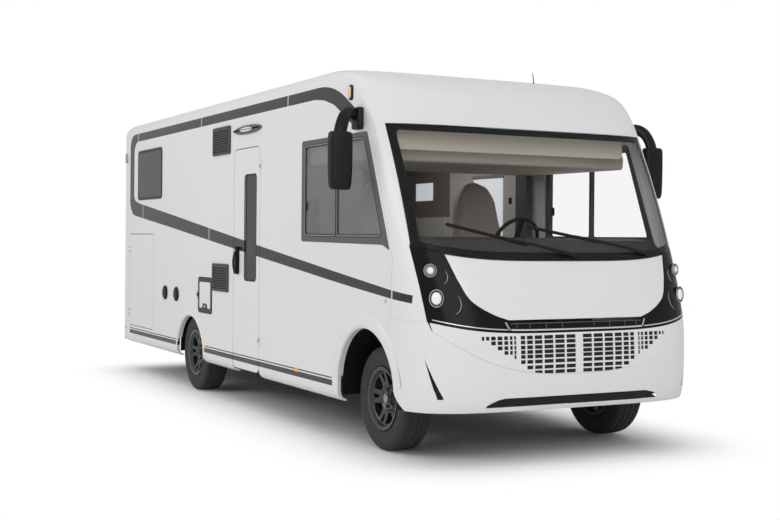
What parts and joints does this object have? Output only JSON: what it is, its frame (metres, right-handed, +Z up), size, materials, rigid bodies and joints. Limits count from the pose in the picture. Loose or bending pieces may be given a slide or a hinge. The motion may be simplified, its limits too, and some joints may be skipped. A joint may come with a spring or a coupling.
{
  "type": "motorhome",
  "caption": "White integrated motorhome with a moulded front mask, wide windscreen, perforated grille, dark side stripes, steered front wheels, entry door, garage doors and opening bonnet.",
  "frame": {"origin": "on the ground, at the middle of the length and width", "axes": "+X forward, +Y to the left of the vehicle, +Z up"},
  "size_m": [7.1201, 2.88, 2.81],
  "materials": {
    "body_white": "gloss white coach paint",
    "chassis_black": "satin black",
    "floor_grey": "grey underside sheet",
    "glass": "clear laminated glass",
    "dark_glass": "dark tinted glass",
    "black_gloss": "gloss black",
    "black_plastic": "grained black plastic",
    "grey_plastic": "dark grey plastic",
    "lamp_clear": "clear lamp cover",
    "lamp_amber": "amber lens",
    "lamp_red": "red lens",
    "engine_grey": "bare casting",
    "steel": "bare steel",
    "tyre_rubber": "black rubber",
    "rim_black": "satin black alloy",
    "upholstery": "beige cloth",
    "panel_beige": "beige padded panel",
    "wood_brown": "brown furniture board"
  },
  "bodies": {
    "body": {"floor_pan": "floor_grey", "chassis_frame": "chassis_black", "wall_right": "body_white", "wall_left": "body_white", "wall_rear": "body_white", "roof": "body_white", "front_cap": "body_white", "windscreen": "glass", "headlamps": "black_gloss", "grille_strip": "black_gloss", "grille": "body_white", "grille_screen": "black_plastic", "bumper": "body_white", "lower_intake": "black_plastic", "skirts": "body_white", "rear_bumper": "body_white", "wheel_liners": "black_plastic", "cab_window_frames": "grey_plastic", "cab_window_panes": "glass", "rear_windows": "dark_glass", "vents": "grey_plastic", "filler_caps": "black_plastic", "porch_lamp": "lamp_clear", "marker_lamps": "lamp_amber", "mirrors": "black_plastic", "wipers": "black_plastic", "roof_hatches": "lamp_clear", "tail_lamps": "lamp_red", "engine_block": "engine_grey", "front_axle": "chassis_black", "rear_axle": "chassis_black", "fuel_tank": "black_plastic", "dashboard": "black_plastic", "steering_wheel": "black_plastic", "seats": "upholstery", "front_bed": "panel_beige", "partition": "wood_brown"},
    "bonnet": {"bonnet": "body_white"},
    "entry_door": {"entry_door": "body_white", "entry_door_window": "dark_glass"},
    "garage_door_right": {"garage_door_right": "body_white"},
    "garage_door_left": {"garage_door_left": "body_white"},
    "service_hatch": {"service_hatch": "grey_plastic"},
    "knuckle_right": {"knuckle_right": "steel"},
    "knuckle_left": {"knuckle_left": "steel"},
    "wheel_front_right": {"tyre_front_right": "tyre_rubber", "rim_front_right": "rim_black"},
    "wheel_front_left": {"tyre_front_left": "tyre_rubber", "rim_front_left": "rim_black"},
    "wheel_rear_right": {"tyre_rear_right": "tyre_rubber", "rim_rear_right": "rim_black"},
    "wheel_rear_left": {"tyre_rear_left": "tyre_rubber", "rim_rear_left": "rim_black"}
  },
  "joints": [
    {"name": "steer_left", "type": "hinge", "parent": "body", "child": "knuckle_left", "pos_m": [2.625, 0.86, 0.365], "axis": [0, 0, 1], "range_deg": [-32, 32]},
    {"name": "steer_right", "type": "hinge", "parent": "body", "child": "knuckle_right", "pos_m": [2.625, -0.86, 0.365], "axis": [0, 0, 1], "range_deg": [-32, 32]},
    {"name": "spin_front_left", "type": "hinge", "parent": "knuckle_left", "child": "wheel_front_left", "pos_m": [2.625, 0.905, 0.365], "axis": [0, 1, 0], "continuous": true},
    {"name": "spin_front_right", "type": "hinge", "parent": "knuckle_right", "child": "wheel_front_right", "pos_m": [2.625, -0.905, 0.365], "axis": [0, 1, 0], "continuous": true},
    {"name": "spin_rear_left", "type": "hinge", "parent": "body", "child": "wheel_rear_left", "pos_m": [-1.175, 0.99, 0.365], "axis": [0, 1, 0], "continuous": true},
    {"name": "spin_rear_right", "type": "hinge", "parent": "body", "child": "wheel_rear_right", "pos_m": [-1.175, -0.99, 0.365], "axis": [0, 1, 0], "continuous": true},
    {"name": "entry_door_hinge", "type": "hinge", "parent": "body", "child": "entry_door", "pos_m": [0.6295, -1.163, 1.3], "axis": [0, 0, 1], "range_deg": [0, 110]},
    {"name": "garage_door_right_hinge", "type": "hinge", "parent": "body", "child": "garage_door_right", "pos_m": [-3.3435, -1.163, 1], "axis": [0, 0, -1], "range_deg": [0, 110]},
    {"name": "garage_door_left_hinge", "type": "hinge", "parent": "body", "child": "garage_door_left", "pos_m": [-3.3435, 1.163, 1], "axis": [0, 0, 1], "range_deg": [0, 110]},
    {"name": "service_hatch_hinge", "type": "hinge", "parent": "body", "child": "service_hatch", "pos_m": [-0.9475, -1.163, 0.937], "axis": [0, 0, -1], "range_deg": [0, 110]},
    {"name": "bonnet_hinge", "type": "hinge", "parent": "body", "child": "bonnet", "pos_m": [3.52719, 0, 0.95], "axis": [0, 1, 0], "range_deg": [0, 80]}
  ],
  "couplings": [
    {"joint": "steer_right", "follows": "steer_left", "ratio": 1}
  ]
}
